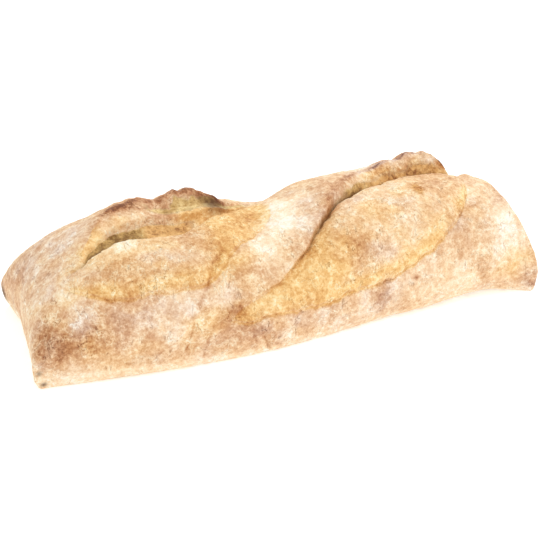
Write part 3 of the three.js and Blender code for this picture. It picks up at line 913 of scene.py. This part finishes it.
def dark_mask(points, fields, zones):
    """Scorched spots, and painted shade in the slash bottoms, ear notch and pocket's left end."""
    x = points[:, 0]
    # Painted shade along the bottoms of the slashes.
    cracked = fields["left_gap"] * curve_through(LEFT_GAP_SHADE, x)
    cracked = cracked + fields["right_gap"] * curve_through(RIGHT_GAP_SHADE, x)
    # Painted shade near the bottom of the pocket, towards its left end.
    pocket_shade = zones["pocket"] * rise(fields["left_part"], *POCKET_SHADE_ACROSS) * rise(x, *POCKET_SHADE_X)
    return np.maximum(spots(points, BURNT_AND_SHADE_SPOTS), cracked) + POCKET_SHADE_STRENGTH * pocket_shade


def make_masks(points, fields):
    """How much of each finish lies at each point, 0..1."""
    x = points[:, 0]
    warped = warp(points)
    patchy = layered(points, PATCHY)
    blotchy = layered(points, BLOTCHY)
    hue = layered(warped, HUE)
    cool = spots(warped, MAUVE_SPOTS)
    zones = face_zones(points, fields)
    crumb = zones["crumb"]
    light = light_mask(points, warped, fields, zones, patchy, blotchy)
    golden = golden_mask(points, warped, fields, zones, blotchy, hue) * (1 + COOL_GOLD * cool)
    mauve = cool + ROLL_COOL * (zones["roll"] - zones["bare"]) + PATCHY_COOL * patchy + HUE_COOL * hue
    floury = FLOUR + PATCHY_FLOUR * patchy + LEFT_FLOUR * fields["left_bloom"]
    floury = floury + LIGHT_FLOUR * (light - MEAN_LIGHT)
    return {
        "light": light,
        "golden": golden,
        "mauve": np.clip(mauve, 0, MOST_COOL) * (1 - golden) * (1 - fields["left_crest"]),
        "crumb": crumb,
        "toast": zones["pocket"] * rise(x, *TOAST_LEFT_X) + zones["slot"] * rise(x, *TOAST_RIGHT_X),
        "dark": dark_mask(points, fields, zones),
        "floury": np.clip(floury, 0, 1) * (1 - crumb),
    }


# ---- The crust's relief

# Noises that push the surface by mm.
DOUGH = ((0.6, 34, 1), (0.4, 15, 2))
SKIN = ((0.22, 6.5, 3), (0.12, 2.9, 4), (0.07, 1.4, 5))
STREAKS = ((0.25, 4, 6),)
STREAKS_STRETCH = (1, 0.3, 0.3)
STREAKS_HEIGHT = (46, 34)
STRANDS = ((0.3, 6, 8),)
STRANDS_STRETCH = (1, 0.6, 0.6)
FIBRES = ((0.4, 2.2, 9),)
RAGGED_LIP = ((0.45, 4.2, 13), (0.3, 1.9, 14))
# Cracks follow the lines where a noise crosses 0. Pits and flour lie where one is above a level.
CRACKS = ((1, 5.5, 7),)
CRACK_DEPTH = 0.4
CRACK_WIDTH = 0.12
CRACKS_OFF_BLOOM = 0.3
PITS = ((1, 2.8, 10),)
PIT_DEPTH = 0.7
PIT_LEVEL = (0.3, 0.7)
FLOUR_LUMPS = ((1, 1.1, 12),)
FLOUR_THICKNESS = 0.09
FLOUR_LEVEL = (0.1, 0.5)
EDGE_DEPTH = 0.4
CREASE_DEPTH = 0.7
# How torn a face's crust is beside its crumb, and the height in mm below which relief fades out.
TORN_CRUST = 0.4
FLAT_HEIGHT = 2.0


def relief(points, fields, masks):
    """How far baking pushed each point out along its normal, in mm."""
    bloom = either(fields, "bloom")
    torn = np.maximum(masks["crumb"], TORN_CRUST * either(fields, "face"))
    height = points[:, 2]
    side = rise(height, *STREAKS_HEIGHT) * (1 - bloom)
    streaks = layered(points * STREAKS_STRETCH, STREAKS) * side
    cracked = smooth(1 - np.abs(layered(points, CRACKS)) / CRACK_WIDTH)
    cracks = CRACK_DEPTH * cracked * (CRACKS_OFF_BLOOM + (1 - CRACKS_OFF_BLOOM) * bloom)
    strands = layered(points * STRANDS_STRETCH, STRANDS) + layered(points, FIBRES)
    pits = PIT_DEPTH * rise(layered(points, PITS), *PIT_LEVEL)
    flour = FLOUR_THICKNESS * rise(layered(points, FLOUR_LUMPS), *FLOUR_LEVEL)
    total = layered(points, DOUGH) + (layered(points, SKIN) + streaks - cracks) * (1 - torn)
    total = total + (strands - pits) * torn + flour * masks["floury"]
    total -= EDGE_DEPTH * either(fields, "edge") + CREASE_DEPTH * creases(points)
    total += either(fields, "crest") * layered(points, RAGGED_LIP)
    return total * smooth(height / FLAT_HEIGHT)


# ---- The crust's finish


def tint(red, green, blue):
    """A display colour, 0..255, as the linear colour that a shader takes."""
    shares = [value / 255 for value in (red, green, blue)]
    linear = [s / 12.92 if s <= 0.04045 else ((s + 0.055) / 1.055) ** 2.4 for s in shares]
    return (*linear, 1.0)


class Graph:
    """Short names for building a node tree."""

    def __init__(self, tree):
        self.tree = tree
        self.place = self.add("ShaderNodeTexCoord").outputs["Object"]

    def add(self, kind, **settings):
        node = self.tree.nodes.new(kind)
        for name, value in settings.items():
            setattr(node, name, value)
        return node

    def feed(self, node, values):
        """Links or sets a node's inputs, by name or number."""
        for name, value in values.items():
            if isinstance(value, bpy.types.NodeSocket):
                self.tree.links.new(value, node.inputs[name])
            else:
                node.inputs[name].default_value = value

    def noise(self, grain_mm, detail=3.0, roughness=0.55, distortion=0.0, stretch=None):
        """Noise with lumps about grain_mm across. stretch below 1 lengthens them on that axis."""
        node = self.add("ShaderNodeTexNoise")
        place = self.place
        if stretch:
            mapping = self.add("ShaderNodeMapping")
            self.feed(mapping, {"Vector": place, "Scale": stretch})
            place = mapping.outputs["Vector"]
        self.feed(node, {
            "Vector": place, "Scale": MM_PER_METRE / grain_mm, "Detail": detail,
            "Roughness": roughness, "Distortion": distortion,
        })
        return node.outputs["Fac"]

    def contour(self, value, width):
        """Curly lines where the value crosses a half, 1 on the line and 0 width away from it."""
        away = self.math("ABSOLUTE", self.math("SUBTRACT", value, 0.5), 0.0)
        return self.span(away, width, 0.0)

    def ramp(self, value, stops):
        node = self.add("ShaderNodeValToRGB")
        self.feed(node, {"Fac": value})
        elements = node.color_ramp.elements
        while len(elements) < len(stops):
            elements.new(0.5)
        for element, (position, color) in zip(elements, stops):
            element.position = position
            element.color = tint(*color)
        return node.outputs["Color"]

    def mask(self, name):
        return self.add("ShaderNodeAttribute", attribute_name=name).outputs["Fac"]

    def math(self, operation, first, second):
        node = self.add("ShaderNodeMath", operation=operation)
        self.feed(node, {0: first, 1: second})
        return node.outputs[0]

    def blend(self, parts):
        """The sum of the given values, each times its own share."""
        total = 0.0
        for value, share in parts:
            total = self.math("ADD", self.math("MULTIPLY", value, share), total)
        return total

    def mixture(self, noises, shares):
        return self.blend([(noises[name], share) for name, share in shares.items()])

    def span(self, value, low, high, to_low=0.0, to_high=1.0):
        """to_low up to low and to_high from high on, smooth in between."""
        node = self.add("ShaderNodeMapRange", interpolation_type="SMOOTHSTEP")
        self.feed(node, {
            "Value": value, "From Min": low, "From Max": high, "To Min": to_low, "To Max": to_high,
        })
        return node.outputs["Result"]

    def mix(self, share, first, second):
        node = self.add("ShaderNodeMix", data_type="RGBA")
        self.feed(node, {"Factor": share, "A": first, "B": second})
        return node.outputs["Result"]


# The finish's noises: lump size in mm, detail, roughness, distortion and, on some, stretch.
GRAINS = {
    "broad": (18, 3, 0.55, 0.5),
    "medium": (6, 4, 0.6, 0.2),
    "grain": (2.2, 3, 0.6, 0.2),
    "fine": (0.9, 2, 0.6),
    "curls": (3.6, 2, 0.5, 0.4),
    "flaky": (9, 3),
    "cracks": (7, 3, 0.6, 0.5, (1, 0.45, 0.45)),
    "cracked": (6, 2, 0.5),
    "streaks": (1.8, 3, 0.6, 0.3, (1, 0.25, 0.25)),
}
# Flakes of flour curl and cracks run along thin lines, only where another noise is above a level.
CURL_WIDTH = 0.05
FLAKY_LEVEL = (0.42, 0.62)
CRACK_LINE_WIDTH = 0.014
CRACKED_LEVEL = (0.53, 0.62)
# How much of each noise goes into the crust's tone, the crumb's tone and the bump, and what the
# noises of the first two add up to on average.
MOTTLE = {"broad": 0.35, "medium": 0.85, "grain": 0.9, "fine": 0.6}
MOTTLE_MEAN = 1.35
TORN = {"streaks": 0.35, "broad": 0.4, "medium": 0.8, "grain": 0.7, "fine": 0.3}
TORN_MEAN = 1.45
BUMPS = {"fine": 0.8, "grain": 1.3, "medium": 1.5, "flakes": 0.5, "cracks": -0.8}
# Dark mottle is held back to this share of its strength.
DARK_MOTTLE = 0.68
FLAKE_TONE = 0.32
CRACK_TONE = -0.2
TONE_SHIFT = -0.06
MAUVE_LEVEL = (0.4, 0.6)
LEAST_MAUVE = 0.5
# Roughness between these tones, from bare crust to flour.
ROUGH_TONES = (0.3, 0.9)
ROUGHNESS = (0.62, 0.95)
SPECULAR = 0.25
BUMP_STRENGTH = 0.8
BUMP_DISTANCE = 0.0005

# Crust colours from the darkest bake, 0, to a thick dusting of flour, 1.
TAN_CRUST = [
    (0.0, (124, 74, 44)), (0.2, (176, 120, 80)), (0.4, (212, 166, 126)), (0.6, (236, 203, 165)),
    (0.8, (248, 229, 199)), (1.0, (255, 246, 230)),
]
GOLD_CRUST = [
    (0.0, (130, 76, 34)), (0.2, (190, 126, 62)), (0.4, (220, 168, 100)), (0.6, (242, 203, 141)),
    (0.8, (251, 226, 174)), (1.0, (255, 243, 212)),
]
MAUVE_CRUST = [
    (0.0, (110, 78, 66)), (0.2, (160, 126, 110)), (0.4, (200, 169, 150)), (0.6, (228, 203, 184)),
    (0.8, (245, 229, 212)), (1.0, (255, 245, 234)),
]
OLIVE_CRUMB = [(0.25, (134, 98, 52)), (0.5, (196, 158, 98)), (0.75, (232, 204, 146))]
TOASTED_CRUMB = [(0.25, (142, 90, 46)), (0.5, (214, 164, 102)), (0.75, (240, 200, 140))]
# The dark colour of scorched spots, also used for painted shade.
BURNT_AND_SHADE = (84, 48, 34)


def crust_noises(g):
    """The noises by name, with the flakes and cracks made from their lines and levels."""
    noises = {name: g.noise(*settings) for name, settings in GRAINS.items()}
    curls = g.contour(noises["curls"], CURL_WIDTH)
    cracks = g.contour(noises["cracks"], CRACK_LINE_WIDTH)
    noises["flakes"] = g.math("MULTIPLY", curls, g.span(noises["flaky"], *FLAKY_LEVEL))
    noises["cracks"] = g.math("MULTIPLY", cracks, g.span(noises["cracked"], *CRACKED_LEVEL))
    return noises


def crust_tone(g, noises):
    """The crust's lightness mask, mottled, with flakes of flour and short cracks."""
    mottle = g.math("SUBTRACT", g.mixture(noises, MOTTLE), MOTTLE_MEAN)
    mottle = g.math("MAXIMUM", mottle, g.math("MULTIPLY", mottle, DARK_MOTTLE))
    flakes = g.math("MULTIPLY", noises["flakes"], g.mask("floury"))
    tone = g.blend([
        (g.mask("light"), 1.0), (mottle, 1.0), (flakes, FLAKE_TONE), (noises["cracks"], CRACK_TONE),
    ])
    return g.math("ADD", tone, TONE_SHIFT)


def crust_color(g, noises, tone):
    crust = g.mix(g.mask("golden"), g.ramp(tone, TAN_CRUST), g.ramp(tone, GOLD_CRUST))
    level = g.span(noises["medium"], *MAUVE_LEVEL, LEAST_MAUVE, 1.0)
    mauve = g.math("MULTIPLY", g.mask("mauve"), level)
    crust = g.mix(mauve, crust, g.ramp(tone, MAUVE_CRUST))
    torn = g.math("ADD", g.mixture(noises, TORN), g.mask("light"))
    torn = g.math("SUBTRACT", torn, TORN_MEAN)
    crumb = g.mix(g.mask("toast"), g.ramp(torn, OLIVE_CRUMB), g.ramp(torn, TOASTED_CRUMB))
    color = g.mix(g.mask("crumb"), crust, crumb)
    # The dark mask: scorched spots, and painted shade in the slash bottoms, the ear's notch and the
    # pocket.
    return g.mix(g.mask("dark"), color, tint(*BURNT_AND_SHADE))


def crust_material():
    material = bpy.data.materials.new("crust")
    material.use_nodes = True
    tree = material.node_tree
    shader = tree.nodes["Principled BSDF"]
    g = Graph(tree)
    noises = crust_noises(g)
    tone = crust_tone(g, noises)
    bump = g.add("ShaderNodeBump")
    height = g.mixture(noises, BUMPS)
    g.feed(bump, {"Strength": BUMP_STRENGTH, "Distance": BUMP_DISTANCE, "Height": height})
    g.feed(shader, {
        "Base Color": crust_color(g, noises, tone),
        "Roughness": g.span(tone, *ROUGH_TONES, *ROUGHNESS),
        "Specular IOR Level": SPECULAR,
        "Normal": bump.outputs["Normal"],
    })
    return material


def store_masks(mesh, masks):
    for name, values in masks.items():
        layer = mesh.attributes.new(name, "FLOAT", "POINT")
        layer.data.foreach_set("value", np.clip(values, 0, 1).astype(np.float32))


def make_loaf():
    skin, skin_fields = make_skin()
    vertices, quads, cap = close_skin(skin)
    below = len(vertices) - skin[..., 0].size
    fields = {
        name: np.concatenate((values.ravel(), np.zeros(below))) for name, values in skin_fields.items()
    }
    mesh = build_mesh(vertices, quads, cap)
    normals = np.empty(len(vertices) * 3)
    mesh.vertices.foreach_get("normal", normals)
    masks = make_masks(vertices, fields)
    push = relief(vertices, fields, masks)
    baked = vertices + normals.reshape(-1, 3) * push[:, None]
    baked[:, 2] = np.maximum(baked[:, 2], 0)
    middle = (baked.min(axis=0) + baked.max(axis=0)) / 2
    baked[:, :2] -= middle[:2]
    mesh.vertices.foreach_set("co", (baked * MM).ravel())
    mesh.update()
    store_masks(mesh, masks)
    mesh.materials.append(crust_material())
    loaf = bpy.data.objects.new("baked_loaf", mesh)
    bpy.context.scene.collection.objects.link(loaf)
    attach(loaf, "root")
    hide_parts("loaf")


add_camera()
add_studio()
make_loaf()
